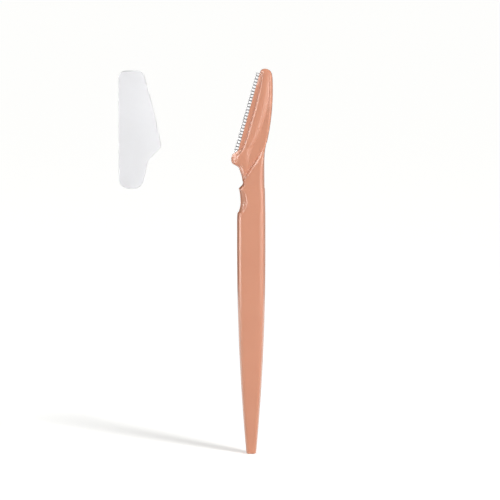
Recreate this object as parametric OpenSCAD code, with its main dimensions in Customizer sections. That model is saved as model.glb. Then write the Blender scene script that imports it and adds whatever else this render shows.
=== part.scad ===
// Eyebrow razor with a comb guard over its blade, shown with its protective cap taken off.
// The razor stands along +Z, with the origin at the middle of the grip's widest section. Its
// front faces -Y and its blade -X. Every height below is measured from the tip.

/* [Grip] */
// Length from the tip to the finger scoop
grip_len = 96; // [80:1:120]
// Width of the grip at its widest
grip_w = 11.36; // [9:0.01:14]
// Height of the widest part above the tip
grip_wide_z = 80; // [60:1:90]
// Thickness of the grip at its widest
grip_t = 6.5; // [6:0.1:8]
// Rise of the front face between its rounded shoulders
grip_crown = 0.3; // [0:0.05:0.4]
// Lean of the grip's side walls from the parting plane to the front and back
grip_lean = 0.5; // [0:0.1:0.8]
// Radius of the grip's long edges
grip_rim = 0.6; // [0.3:0.1:1.2]
// Width of the tip
tip_w = 4; // [3.4:0.1:6]
// Thickness of the tip
tip_t = 3.4; // [3:0.1:5]
// Radius round the tip's end
tip_rim = 0.7; // [0.3:0.1:1]

/* [Finger scoop and neck] */
// Length of the scoop along the left edge
scoop_len = 11.2; // [8:0.1:13]
// Depth of the scoop in the outline
scoop_deep = 1.3; // [0.5:0.1:2]
// Reach of the scoop's bevel over the front and back faces, past the grip's edge
scoop_reach = 1.3; // [0.2:0.1:2]
// Drop of the scoop's bevel down the left side, past the grip's edge
scoop_drop = 1.6; // [0.2:0.1:2]
// Distance of the neck's spine from the grip's axis
spine_x = 5.3; // [4.8:0.1:5.6]
// Width of the neck from the narrowest point to the spine
neck_w = 8.9; // [7.5:0.1:9.5]
// Height of the neck's narrowest point above the scoop
neck_rise = 3.2; // [2:0.1:5]
// Width of the bevel of the cap's seat at its sharp end
seat_bevel = 0.9; // [0.5:0.1:1.5]
// Climb of the cap's seat from the left edge to the spine
seat_climb = 14.8; // [12:0.1:15]

/* [Head] */
// Thickness of the head between its flat back and the plate at its front
head_t = 4.2; // [3.6:0.1:4.4]
// Height of the head above the heel of the blade, measured along the blade
head_len = 35.5; // [34:0.1:42]
// Width of the head from its lip to its spine at the heel
head_w = 10.35; // [9:0.05:12]
// Width of the head at the top end of the blade
head_top_w = 5.25; // [5:0.05:7]
// Lean of the spine's walls from the parting plane to the front and back
spine_lean = 0.3; // [0:0.1:0.6]
// Radius of the spine's edges
spine_rim = 1; // [0.5:0.1:1.4]
// Thickness of the lip that holds the blade, on each side
lip_t = 0.5; // [0.4:0.05:0.8]
// Width of the lip's low strip beside the blade, up to the ridge
lip_w = 1.95; // [1.5:0.05:2.1]
// Drop of the front face from its edge plane to the ridge beside the strip
ridge_drop = 0.15; // [0:0.05:0.3]
// Depth of the valley beside the spine
valley_deep = 0.25; // [0:0.05:0.4]
// Height of the rib along the head
rib_rise = 0.2; // [0:0.05:0.25]
// Reach of the heel nub beyond the guard
nub_reach = 0.1; // [0:0.1:1]
// Height of the heel nub
nub_h = 6; // [4:0.1:8]

/* [Blade and guard] */
// Height of the heel of the blade above the tip
heel_z = 121.6; // [118:0.1:126]
// Distance of the heel's edge to the left of the grip's axis
heel_x = 6.95; // [5:0.05:9]
// Lean of the blade's edge towards the spine
edge_tilt = 15.6; // [10:0.1:20]
// Length of the blade
blade_len = 33; // [26:0.5:33.5]
// Width of the blade
blade_w = 5.2; // [4.5:0.1:5.3]
// Thickness of the blade
blade_t = 0.25; // [0.15:0.01:0.4]
// Width of the ground bevel along the edge
blade_bevel = 0.6; // [0.2:0.1:1]
// Width of the metal that shows beyond the plastic
blade_show = 1.45; // [1.2:0.05:1.8]
// Thickness of the guard's foil
foil_t = 0.1; // [0.05:0.01:0.2]
// Width of the guard on each side of the blade
foil_w = 2.6; // [2.4:0.1:2.8]
// Number of slots in the guard
slot_count = 26; // [16:1:30]
// Length of a slot across the guard
slot_len = 1.25; // [0.6:0.05:1.4]
// Part of the pitch that a slot takes
slot_share = 0.62; // [0.4:0.01:0.8]
// Distance of a slot's outer end from the folded edge
slot_edge = 0.3; // [0.2:0.05:0.5]

/* [Rear plate] */
// Clearance round the rear plate and the blade in the head's recess
plate_gap = 0.05; // [0.02:0.01:0.2]
// Diameter of the plate's pegs, which pass through the blade and weld to the head
peg_d = 1.6; // [1:0.1:1.8]
// Clearance of the pegs in the blade
peg_gap = 0.15; // [0.05:0.01:0.3]

/* [Cap] */
// Length of the cap
cap_len = 46.8; // [44:0.1:52]
// Width of the cap at its corner
cap_w = 16.4; // [15:0.1:19]
// Width of the cap at its top, before its corner is rounded
cap_top_w = 9.6; // [8.5:0.1:12]
// Width of the cap's lower lobe
cap_lobe_w = 9.2; // [8.8:0.1:10]
// Height of the cap's corner above its lower end
cap_corner_z = 16.5; // [15:0.1:18]
// Distance of the notch's bend from the cap's left side
cap_notch_x = 11.7; // [11:0.1:13]
// Height of the notch's bend above the cap's lower end
cap_notch_z = 11.2; // [10:0.1:12.5]
// Swell of the cap's slanted side
cap_bow = 0.8; // [0.3:0.1:1.2]
// Radius of the cap's upper corners
cap_top_r = 3; // [2:0.1:3.5]
// Radius of the cap's lobe
cap_lobe_r = 4.1; // [3:0.1:4.3]
// Radius of the cap's corner beside the notch
cap_corner_r = 1.6; // [1:0.1:2]
// Radius in the notch's bend
cap_notch_r = 2; // [1:0.1:4]
// Radius of the swell of the slanted side
cap_side_r = 33; // [20:1:60]
// Thickness of the cap's walls
cap_wall = 0.8; // [0.6:0.05:1]
// Clearance between the head's rib and the cap, on each side
cap_gap = 0.15; // [0.1:0.05:0.4]
// Radius of the cap's outer edges
cap_rim = 0.6; // [0.3:0.05:0.7]
// Distance of the cap's left side from the grip's axis
cap_rest_x = 52.75; // [45:0.05:80]
// Height of the cap's lower end above the tip
cap_rest_z = 107.2; // [90:0.1:130]

/* [Hidden] */
coral = [0.84, 0.6, 0.49];
steel = [0.78, 0.79, 0.8];
bright_steel = [0.9, 0.9, 0.91];
frost = [0.93, 0.93, 0.94, 0.6];
// How far each cut runs past the face that it leaves
overrun = 1;
// Steps of a rounded rim, of the rib, of the face beside it and between two key sections
rim_steps = 4;
rib_steps = 7;
side_steps = 4;
loft_steps = 2;
// Steps of an arc that rounds a corner of the cap
corner_steps = 6;
$fn = 32;

// Blade frame: u runs up along the guard's outer edge from the heel and v inward from it
along = [sin(edge_tilt), cos(edge_tilt)];
inward = [cos(edge_tilt), -sin(edge_tilt)];
function head_at(u, v) = [-heel_x, heel_z] + u * along + v * inward;

// Outline of the grip: a parabola up to its widest part, and straight and flat above it
wide_half = grip_w / 2;
tip_half = tip_w / 2;
function bulge(z) = z < grip_wide_z ? 1 - pow(1 - z / grip_wide_z, 2) : 1;
function grip_half(z) = tip_half + (wide_half - tip_half) * bulge(z);
function grip_depth(z) = (tip_t + (grip_t - tip_t) * bulge(z)) / 2;

// Spine of the head: a parabola in the blade frame, widest a little above the heel
spine_low_share = 0.09;
spine_curve_share = 0.85;
spine_low = head_len * spine_low_share;
function spine_v(u) = blade_show + head_w
    - (head_w - head_top_w) * pow((u - spine_low) / (head_len * spine_curve_share), 2);
function spine(share) = let (u = spine_low + share * blade_len) head_at(u, spine_v(u));
function lip(u) = head_at(u, blade_show);

// One key section of the handle: its left and right points, half its thickness at its left
// and right, its left and right rims, the valley's place, the strength of the relief, the
// point that the back's line bends through, and whether the back is open there. A rim is the
// lean and the height of the wall over the parting plane, the reach from there to the face,
// and whether that reach is a rounding or a low strip with a step up to the face.
function key(left, right, halves, left_rim, right_rim, valley, relief, bend, is_open) =
    concat([left.x, left.y, right.x, right.y], halves, left_rim, right_rim,
        [valley, relief, bend.x, bend.y, is_open]);
// A section whose back runs straight across
function plain_key(left, right, halves, left_rim, right_rim, valley, relief) =
    key(left, right, halves, left_rim, right_rim, valley, relief,
        left + bend_share * (right - left), 0);
back_lip_w = 0.6 * lip_w;
function round_rim(lean, radius, half) =
    let (r = min(radius, half)) [lean, half - r, lean + r, 0];

head_half = head_t / 2;
grip_top_half = grip_t / 2;
even = [1, 1];

// Levels and places of the recess behind the lip, which takes the guard, blade and rear plate
clamp = blade_t / 2 + foil_t;
lip_front = clamp + lip_t;
blade_v = foil_t + plate_gap;
recess_v = blade_v + blade_w + 2 * plate_gap;
recess_low = -plate_gap;
recess_high = blade_len + plate_gap;

neck_z = grip_len + scoop_len + neck_rise;
neck = [spine_x - neck_w, neck_z];
nub_tip = head_at(-nub_h / 2, -nub_reach);

// Rims: of the grip's edges, the spine's, the lip beside the blade and the nub
grip_edge = round_rim(grip_lean, grip_rim, grip_top_half);
spine_edge = round_rim(spine_lean, spine_rim, head_half);
function lip_edge(wide, stepped) = [0, lip_front, lip_w * wide, stepped];

// A rounded end: rings that draw in by the rim from the full section
function tip_key(turn) =
    let (
        inset = tip_rim * (1 - sin(turn)),
        z = tip_rim * (1 - cos(turn)),
        half = grip_half(z) - inset,
        depth = grip_depth(z) - inset,
        rim = round_rim(grip_lean * depth / grip_top_half, grip_rim, depth)
    )
    plain_key([-half, z], [half, z], depth * even, rim, rim, mid_share, 0);

// A plain section of the grip
function grip_key(z) =
    let (
        half = grip_half(z),
        depth = grip_depth(z),
        rim = round_rim(grip_lean * depth / grip_top_half, grip_rim, depth)
    )
    plain_key([-half, z], [half, z], depth * even, rim, rim, mid_share, 0);

// A section through the scoop. Shares are of the scoop's length, of its depth and of its bevel.
function scoop_key(shares) =
    plain_key([scoop_deep * shares[1] - wide_half, grip_len + shares[0] * scoop_len],
        [wide_half + (spine_x - wide_half) * shares[0] / 2, grip_len + shares[0] * scoop_len],
        grip_top_half * even,
        grip_edge + shares[2] * [0, -scoop_drop, scoop_reach, scoop_step_share],
        grip_edge, mid_share, 0);

// A section from a point between the neck and the tip of the nub to the spine. Shares are of
// the way from one to the other, along X and Z, of the spine, of the valley's place, of
// relief and of the way of the back's bend from the seat to the recess.
function neck_key(shares) =
    let (reach = nub_tip - neck)
    key(neck + [shares[0] * reach.x, shares[1] * reach.y], spine(shares[2]), head_half * even,
        round_rim(grip_lean, grip_rim, head_half), spine_edge, shares[3], shares[4],
        seat_bend + shares[5] * (recess_corner - seat_bend), 0);

// A section of the nub. Shares are of its height down from the heel, of the blade's show, of
// the spine, of the valley's place, of the lip's width and step and of the way of the back's
// bend.
function nub_key(shares) =
    key(head_at(recess_low - recess_draft - nub_h * shares[0],
            (blade_show + nub_reach) * shares[1] - nub_reach),
        spine(shares[2]), head_half * even, lip_edge(shares[4], shares[5]), spine_edge,
        shares[3], 1,
        seat_bend + shares[6] * (recess_corner - seat_bend), 0);

// A section of the head beside the blade. Shares are of the recess, the spine, the valley's
// place, the lip's width and of relief and the lip's step.
function head_key(shares) =
    let (u = recess_low + shares[0] * (recess_high - recess_low))
    key(lip(u), spine(shares[1]), head_half * even, lip_edge(shares[3], shares[4]), spine_edge,
        shares[2], shares[4], head_at(u, recess_v), 1);

// A section of the crown. Shares are of the head's length past the recess and of its top
// width at the left, of the same at the right, of the head's thickness and of relief.
function crown_key(shares) =
    let (
        low = recess_high + recess_draft,
        rise = head_len - low,
        left = head_at(low + rise * shares[0], (blade_show + head_top_w) * shares[1]),
        right = head_at(low + rise * shares[2], (blade_show + head_top_w) * shares[3])
    )
    key(left, right, head_half * shares[4] * even,
        lip_edge(crown_lip_share, 0) * shares[4] + [(1 - shares[4]) * spine_lean, 0, 0, 0],
        spine_edge * shares[4], top_valley_share, shares[5],
        right + crown_bend_share * (left - right), 0);

mid_share = 0.5;
bend_share = 0.3;
crown_bend_share = 0.25;
crown_lip_share = 0.7;
top_valley_share = 0.93;
tip_turns = [0, 30, 60];
grip_shares = [0.05, 0.12, 0.22, 0.34, 0.48, 0.64, 0.82, 1];
scoop_step_share = 0.25;
scoop_shares = [
    [0.04, 0.05, 0], [0.18, 0.55, 0.5], [0.42, 1, 1], [0.7, 0.95, 0.8], [0.92, 0.72, 0.3],
    [0.99, 0.55, 0]
];
// The seat's bevel, which narrows and fades out towards the spine, and how far below it the
// front face starts to thin there
seat_valley_share = 0.35;
seat_relief_share = 0.5;
seat_half_share = 0.1;
seat_end_share = 0.3;
seat_half = head_half + seat_half_share * (grip_top_half - head_half);
seat_turn = atan2(seat_climb, neck_w);
seat_top = [spine_x + 0.8, neck_z + seat_climb];
seat_low = seat_top - seat_end_share * [0.5, seat_bevel / cos(seat_turn)];
seat_fade = 5;
seat_bend = neck + bend_share * (seat_top - neck);
recess_draft = 0.25;
recess_corner = head_at(recess_low - recess_draft, recess_v);
neck_shares = [
    [0.05, 0.17, 0.13, 0.4, 0.6, 0.15], [0.19, 0.38, 0.15, 0.45, 0.8, 0.3],
    [0.37, 0.6, 0.17, 0.5, 1, 0.45]
];
nub_shares = [
    [0.71, 0.66, 0.19, 0.54, 0.82, 0, 0.58], [0.51, -0.03, 0.205, 0.55, 1.6, 0.2, 0.7],
    [0.243, -0.16, 0.22, 0.53, 2.4, 0.6, 0.82], [0.05, 0.05, 0.235, 0.55, 2.35, 0.8, 0.92],
    [0, 1, 0.25, 0.56, 1.18, 1, 1]
];
head_shares = [
    [0, 0.265, 0.58, 1.28, 1], [0.04, 0.29, 0.62, 1.49, 1], [0.2, 0.38, 0.71, 1.54, 1],
    [0.36, 0.5, 0.79, 1.49, 1], [0.53, 0.61, 0.86, 1.37, 1], [0.69, 0.72, 0.93, 1.24, 0.85],
    [0.85, 0.82, 0.93, 1.05, 0.6], [1, 0.9, 0.93, 0.8, 0.3]
];
crown_shares = [
    [0, 0.22, 0.3, 0.95, 1, 0.2], [0.4, 0.24, 0.6, 0.88, 0.93, 0.1],
    [0.68, 0.29, 0.85, 0.77, 0.78, 0], [0.9, 0.38, 1, 0.6, 0.45, 0]
];

keys = concat(
    [for (turn = tip_turns) tip_key(turn)],
    [for (share = grip_shares) grip_key(share * grip_wide_z)],
    [grip_key((grip_wide_z + grip_len) / 2)],
    [for (shares = scoop_shares) scoop_key(shares)],
    [
        plain_key(neck - [0, 2 * seat_bevel], [spine_x, neck_z - 2 * seat_bevel],
            grip_top_half * even, grip_edge, grip_edge, mid_share, 0),
        plain_key(neck - [-seat_bevel / 6, 1.4 * seat_bevel], [spine_x, seat_low.y - seat_fade],
            grip_top_half * even, grip_edge, grip_edge, mid_share, 0),
        plain_key(neck - [-seat_bevel / 3, seat_bevel], seat_low, [grip_top_half, seat_half],
            grip_edge, round_rim(grip_lean, grip_rim, seat_half), mid_share, 0),
        plain_key(neck, seat_top, head_half * even, round_rim(grip_lean, grip_rim, head_half),
            spine_edge, seat_valley_share, seat_relief_share)
    ],
    [for (shares = neck_shares) neck_key(shares)],
    [for (shares = nub_shares) nub_key(shares)],
    [for (shares = head_shares) head_key(shares)],
    [for (shares = crown_shares) crown_key(shares)]
);

// Smooth curve through the key sections
function curve(p0, p1, p2, p3, t) =
    p1 + (p2 - p0) * t / 2 + (2 * p0 - 5 * p1 + 4 * p2 - p3) * t * t / 2
    + (3 * p1 - p0 - 3 * p2 + p3) * t * t * t / 2;
last = len(keys) - 1;
open_field = len(keys[0]) - 1;
function sections_after(i) =
    let (
        p = keys[i],
        q = keys[i + 1],
        steps = p[open_field] == q[open_field] ? loft_steps : 1
    )
    [for (step = [0 : steps - 1])
        curve(keys[max(i - 1, 0)], p, q, keys[min(i + 2, last)], step / steps)];
sections = concat([for (i = [0 : last - 1]) each sections_after(i)], [keys[last]]);

// Relief of the front face between its rims: the ridge, the rib and the valley by the spine
crest_share = 0.45;
relief_power = 3;
crown_power = 8;
function wave(t) = (1 - cos(180 * t)) / 2;
function relief(share, valley) =
    let (t = share / valley)
    t < crest_share ? rib_rise - (rib_rise + ridge_drop) * pow(1 - t / crest_share, relief_power)
    : t < 1 ? rib_rise
        - (rib_rise + valley_deep) * pow((t - crest_share) / (1 - crest_share), relief_power)
    : (share - 1) / (1 - valley) * valley_deep;
function crown(share, span) =
    grip_crown * min(1, span / grip_w) * (1 - pow(abs(2 * share - 1), crown_power));

// Points of a rim from the parting plane up, without the last one, which the face shares.
// A stepped rim has its strip's width and rise as shares of the whole.
strip_share = 0.88;
strip_rise = 0.2;
strip_end = 1 - 1 / rim_steps;
function step_at(t, share) =
    t < strip_end ? t / strip_end * share : share + (t - strip_end) * rim_steps * (1 - share);
function rim_points(rim, half) =
    let (lean = rim[0], height = rim[1], reach = rim[2], stepped = rim[3])
    concat([[0, 0]], [for (i = [0 : rim_steps - 1])
        let (t = i / rim_steps, x = step_at(t, strip_share), y = step_at(t, strip_rise))
        [lean + (reach - lean) * (1 - cos(90 * t) + stepped * (x - 1 + cos(90 * t))),
         height + (half - height) * (sin(90 * t) + stepped * (y - sin(90 * t)))]]);

// Ring of points round one section, from the left over the front to the right and back
function section_ring(s) =
    let (
        left = [s[0], s[1]],
        right = [s[2], s[3]],
        width = norm(right - left),
        across = (right - left) / width,
        half = s[4],
        taper = s[5] - s[4],
        left_rim = [for (i = [6 : 9]) s[i]],
        right_rim = [for (i = [10 : 13]) s[i]],
        valley = s[14],
        strength = s[15],
        bend = [s[16], s[17]],
        toward = (bend - left) / norm(bend - left),
        bend_half = half + taper * (bend - left) * across / width,
        is_open = s[open_field] > mid_share,
        start = left_rim[2],
        span = width - start - right_rim[2],
        front_side = rim_points(left_rim, half - strength * ridge_drop),
        back_rim = [left_rim[0], left_rim[1], min(start, back_lip_w), left_rim[3]],
        back_side = rim_points(back_rim, half),
        right_side = [for (p = rim_points(right_rim, half + taper)) [width - p.x, p.y]],
        shares = concat(
            [for (i = [0 : rib_steps]) valley * wave(i / rib_steps)],
            [for (i = [1 : side_steps]) valley + (1 - valley) * wave(i / side_steps)]
        ),
        face = [for (share = shares)
            [start + span * share,
             half + taper * share + strength * relief(share, valley)
             + pow(1 - strength, 2) * crown(share, span)]],
        front = concat(
            is_open ? [[0, clamp]] : [[0, 0]],
            [for (i = [1 : rim_steps]) front_side[i]],
            face,
            [for (i = [rim_steps : -1 : 0]) right_side[i]]
        ),
        back = concat([for (i = [1 : rim_steps]) right_side[i]], [[start + span, half + taper]]),
        edge = concat([[back_rim[2], half]], [for (i = [rim_steps : -1 : 1]) back_side[i]])
    )
    concat(
        [for (p = front) let (q = left + p.x * across) [q.x, -p.y, q.y]],
        [for (p = back) let (q = left + p.x * across) [q.x, p.y, q.y]],
        [[bend.x, bend_half, bend.y]],
        is_open
            ? [for (i = [0 : len(edge)])
                let (q = bend + (left - bend) * i / (len(edge) + 1)) [q.x, -clamp, q.y]]
            : concat(
                [let (q = (bend * 3 + left + back_rim[2] * toward) / 4)
                    [q.x, (bend_half * 3 + half) / 4, q.y]],
                [for (p = edge) let (q = left + p.x * toward) [q.x, p.y, q.y]]
            )
    );

// Closed skin over a list of rings that all have as many points, with the middles of its ends
module skin(rings, middles) {
    n = len(rings[0]);
    m = len(rings);
    polyhedron(
        points = concat([for (ring = rings) each ring], middles),
        faces = concat(
            [for (i = [0 : n - 1]) [m * n, i, (i + 1) % n]],
            [for (r = [0 : m - 2], i = [0 : n - 1])
                let (a = r * n + i, b = r * n + (i + 1) % n, c = a + n, d = b + n)
                each [[a, c, b], [b, c, d]]],
            [for (i = [0 : n - 1]) [m * n + 1, (m - 1) * n + (i + 1) % n, (m - 1) * n + i]]
        ),
        convexity = 6
    );
}

// Places of the pegs
peg_v = foil_w + 2 * plate_gap + peg_d / 2;
peg_us = [for (share = [0.18, 0.5, 0.82]) share * blade_len];

// Draws children in the blade frame, with x as v, y as u and z towards the front
module in_blade_frame() {
    translate([-heel_x, 0, heel_z])
        rotate([0, edge_tilt, 0])
            rotate([90, 0, 0])
                children();
}

// Extrudes a section, drawn with x as v and y towards the back, along the blade
module along_blade(start, length) {
    in_blade_frame()
        translate([0, start, 0])
            rotate([-90, 0, 0])
                linear_extrude(length) children();
}

// One round bar on each peg's axis, from a level at the front to one at the back
module peg_bars(diameter, front, back) {
    in_blade_frame()
        for (u = peg_us)
            translate([peg_v, u, -back])
                cylinder(h = front + back, d = diameter);
}

// Middle of a list of points
function middle_of(points) = [for (points = points) 1] * points / len(points);

module handle() {
    rings = [for (s = sections) section_ring(s)];
    color(coral) skin(rings, [middle_of(rings[0]), middle_of(rings[len(rings) - 1])]);
}

module blade() {
    color(steel)
        difference() {
            along_blade(0, blade_len)
                polygon([
                    [blade_v, 0],
                    [blade_v + blade_bevel, blade_t / 2],
                    [blade_v + blade_w, blade_t / 2],
                    [blade_v + blade_w, -blade_t / 2],
                    [blade_v + blade_bevel, -blade_t / 2]
                ]);
            peg_bars(peg_d + 2 * peg_gap, overrun, overrun);
        }
}

// Folded strip, drawn as a section with a round fold
module fold(outer, start) {
    translate([start + outer, 0]) circle(outer);
    translate([start + outer, -outer]) square([foil_w - start - outer, 2 * outer]);
}

// One slot with round ends, across the guard
module slot(width, length) {
    translate([width / 2, 0]) circle(d = width);
    translate([length - width / 2, 0]) circle(d = width);
    translate([width / 2, -width / 2]) square([length - width, width]);
}

module guard() {
    pitch = blade_len / slot_count;
    color(bright_steel)
        difference() {
            along_blade(0, blade_len)
                difference() {
                    fold(clamp, 0);
                    fold(blade_t / 2, foil_t);
                    translate([foil_w - overrun, -blade_t / 2])
                        square([2 * overrun, blade_t]);
                }
            in_blade_frame()
                translate([0, 0, -overrun])
                    linear_extrude(2 * overrun)
                        for (i = [0 : slot_count - 1])
                            translate([slot_edge, (i + 0.5) * pitch])
                                slot(slot_share * pitch, slot_len);
        }
}

module rear_plate() {
    back_v = recess_v - plate_gap;
    color(coral) {
        along_blade(0, blade_len)
            polygon([
                [blade_show, clamp],
                [blade_show, lip_front],
                [blade_show + strip_share * lip_w,
                 lip_front + strip_rise * (head_half - lip_front)],
                [blade_show + lip_w, head_half],
                [back_v, head_half],
                [back_v, clamp]
            ]);
        peg_bars(peg_d, clamp, clamp + lip_t / 2);
    }
}

// Points of an arc that rounds the corner at q between p and n, drawn in by inset. Each
// corner is [x, z, radius], and the outline runs clockwise.
function unit(v) = v / norm(v);
function corner_arc(p, q, n, inset) =
    let (
        at = [q.x, q.y],
        to_p = unit([p.x, p.y] - at),
        to_n = unit([n.x, n.y] - at),
        half_angle = acos(to_p * to_n) / 2,
        centre = at + unit(to_p + to_n) * q.z / sin(half_angle),
        first = at + to_p * q.z / tan(half_angle) - centre,
        end = at + to_n * q.z / tan(half_angle) - centre,
        first_turn = atan2(first.y, first.x),
        turn = (atan2(end.y, end.x) - first_turn + 540) % 360 - 180,
        radius = turn < 0 ? q.z - inset : q.z + inset
    )
    [for (i = [0 : corner_steps])
        centre + radius * [cos(first_turn + turn * i / corner_steps),
                           sin(first_turn + turn * i / corner_steps)]];
function rounded(corners, inset) =
    let (n = len(corners))
    [for (i = [0 : n - 1])
        each corner_arc(corners[(i + n - 1) % n], corners[i], corners[(i + 1) % n], inset)];

// Corners of the cap's outline, from its lower left, and of the space inside it, which opens
// along the slanted side, at the notch and under the right half of the lobe
cap_corners = [
    [0, 0, cap_lobe_r],
    [0, cap_len, cap_top_r],
    [cap_top_w, cap_len, cap_top_r],
    [(cap_w + cap_top_w) / 2 + cap_bow, (cap_len + cap_corner_z) / 2, cap_side_r],
    [cap_w + cap_corner_r / 3, cap_corner_z, cap_corner_r],
    [cap_notch_x, cap_notch_z, cap_notch_r],
    [cap_lobe_w, 0, cap_lobe_r]
];
cap_middle = [cap_lobe_w - cap_lobe_r / 2, cap_corner_z];
space_right = cap_w + 2 * overrun;
space_foot = (cap_lobe_w + 2 * cap_wall) / 2;
space_corners = [
    [cap_wall, cap_wall, cap_lobe_r - cap_wall],
    [cap_wall, cap_len - cap_wall, cap_top_r - cap_wall],
    [space_right, cap_len - cap_wall, cap_wall / 2],
    [space_right, -overrun, cap_wall / 2],
    [space_foot, -overrun, cap_wall / 2],
    [space_foot, cap_wall, cap_wall / 2]
];
space_half = head_half + rib_rise + cap_gap;
cap_half = space_half + cap_wall;

module cap() {
    cap_turns = [for (i = [0 : rim_steps]) 90 * i / rim_steps];
    edges = [for (turn = cap_turns) [cap_rim * (1 - sin(turn)), cap_half - cap_rim * (1 - cos(turn))]];
    levels = concat(
        [for (e = edges) [e.x, -e.y]],
        [for (i = [rim_steps : -1 : 0]) edges[i]]
    );
    color(frost)
        translate([-cap_rest_x, 0, cap_rest_z])
            difference() {
                skin(
                    [for (e = levels) [for (p = rounded(cap_corners, e.x)) [p.x, e.y, p.y]]],
                    [for (side = [-1, 1]) [cap_middle.x, side * cap_half, cap_middle.y]]
                );
                rotate([90, 0, 0])
                    linear_extrude(2 * space_half, center = true)
                        polygon(rounded(space_corners, 0));
            }
}

// Moves the origin from the tip to the middle of the grip
module from_tip() {
    translate([0, 0, -grip_wide_z]) children();
}

from_tip() handle();
from_tip() blade();
from_tip() guard();
from_tip() rear_plate();
from_tip() cap();
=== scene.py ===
"""Looks of the eyebrow razor: fine meshes, finishes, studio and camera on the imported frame.

The razor's sizes are in millimetres, measured up from its tip, and the studio's in metres. In
the razor's names _w is a width, _t a thickness, _r a radius and _v a place beside the blade.
"""

from __future__ import annotations

import logging
import math
from dataclasses import dataclass, field
from enum import Enum
from typing import Any, Sequence

import bmesh
import bpy
import numpy as np
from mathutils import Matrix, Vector


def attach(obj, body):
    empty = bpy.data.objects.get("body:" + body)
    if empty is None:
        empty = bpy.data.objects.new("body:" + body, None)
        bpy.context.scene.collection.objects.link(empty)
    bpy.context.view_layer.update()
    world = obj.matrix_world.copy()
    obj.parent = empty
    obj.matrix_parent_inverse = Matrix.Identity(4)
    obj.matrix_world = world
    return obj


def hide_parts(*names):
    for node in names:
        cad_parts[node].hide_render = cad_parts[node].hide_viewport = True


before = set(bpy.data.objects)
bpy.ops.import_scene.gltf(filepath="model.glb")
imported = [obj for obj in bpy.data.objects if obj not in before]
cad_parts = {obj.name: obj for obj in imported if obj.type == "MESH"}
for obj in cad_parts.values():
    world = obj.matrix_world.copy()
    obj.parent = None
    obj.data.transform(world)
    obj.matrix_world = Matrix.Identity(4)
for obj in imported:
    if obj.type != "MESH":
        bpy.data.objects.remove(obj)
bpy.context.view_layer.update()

LOG = logging.getLogger("eyebrow_razor")

# A millimetre in metres, and in millimetres the tip's depth below the origin and how near
# two points merge.
MM = 0.001
TIP_DROP = 80.0
MERGE_REACH = 0.0005

# The smallest number to divide by, and the longest cut of a softened corner as a share of
# its side.
TINY = 1e-9
CORNER_SHARE = 0.25

Points = np.ndarray
Pairs = list[tuple[float, float]]
Faces = list[list[int]]
Colour = tuple[float, float, float, float]


class Body(Enum):
    """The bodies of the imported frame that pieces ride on."""

    RAZOR = "razor"
    CAP = "cap_body"


class Slot(Enum):
    """The record's material slots, which the pieces here do not take their finish from."""

    CORAL = "coral"
    FOIL = "guard_foil"
    FROSTED = "frosted"


# Meshes


def in_frame(points: Points) -> list[tuple[float, float, float]]:
    """Turns millimetres measured from the tip into metres in the row frame."""
    moved = np.asarray(points, float) - np.array([0.0, 0.0, TIP_DROP])
    return [tuple(p) for p in moved * MM]


def link(name: str, data: bpy.types.ID) -> bpy.types.Object:
    """Makes an object and links it to the scene.

    Args:
        name: Name of the object.
        data: Its mesh, lamp or camera.

    Returns:
        The object.
    """
    obj = bpy.data.objects.new(name, data)
    bpy.context.scene.collection.objects.link(obj)
    return obj


def add_object(name: str, points: Points, faces: Sequence[Sequence[int]]) -> bpy.types.Object:
    """Makes an object with outward normals from points in millimetres.

    Args:
        name: Name of the piece.
        points: Rows of x, y and z, measured from the tip.
        faces: Point numbers of each face.

    Returns:
        The new object, linked to the scene.
    """
    mesh = bpy.data.meshes.new(name)
    mesh.from_pydata(in_frame(points), [], [list(f) for f in faces])
    form = bmesh.new()
    form.from_mesh(mesh)
    bmesh.ops.remove_doubles(form, verts=form.verts, dist=MERGE_REACH * MM)
    bmesh.ops.recalc_face_normals(form, faces=form.faces)
    form.to_mesh(mesh)
    form.free()
    return link(name, mesh)


def dress(obj: bpy.types.Object, finish: Finish, sharp_deg: float) -> None:
    """Shades a piece smooth, apart from its sharp edges, and gives it its finish.

    Args:
        obj: The piece.
        finish: The finish.
        sharp_deg: Angle in degrees from which an edge stays sharp.
    """
    obj.data.shade_smooth()
    obj.data.set_sharp_from_angle(angle=math.radians(sharp_deg))
    obj.data.materials.clear()
    obj.data.materials.append(finish.material())


def apply_modifiers(obj: bpy.types.Object) -> None:
    """Puts the result of an object's modifiers into its mesh and removes them.

    Args:
        obj: The object with modifiers.
    """
    bpy.context.view_layer.update()
    evaluated = obj.evaluated_get(bpy.context.evaluated_depsgraph_get())
    done = bpy.data.meshes.new_from_object(evaluated)
    obj.modifiers.clear()
    obj.data = done


@dataclass(frozen=True)
class Rounding:
    """A rounding of sharp edges: its width in mm, its faces, and the bend that it starts from."""

    width: float
    steps: int
    from_deg: float

    def apply(self, obj: bpy.types.Object) -> None:
        """Rounds the sharp edges of an object.

        Args:
            obj: The object to round.
        """
        cut = obj.modifiers.new("rounding", "BEVEL")
        cut.width = self.width * MM
        cut.segments = self.steps
        cut.limit_method = "ANGLE"
        cut.angle_limit = math.radians(self.from_deg)
        cut.harden_normals = False
        cut.use_clamp_overlap = True
        apply_modifiers(obj)


def prism_faces(count: int, first: int = 0) -> Faces:
    """Returns the faces of a prism between two rings of points.

    Args:
        count: Number of points in a ring.
        first: Number of the first ring's first point.

    Returns:
        The two end faces, and then the faces round the side.
    """
    low = [first + i for i in range(count)]
    high = [count + i for i in low]
    return [low, high] + [[low[i], low[(i + 1) % count], high[(i + 1) % count], high[i]]
                          for i in range(count)]


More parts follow.
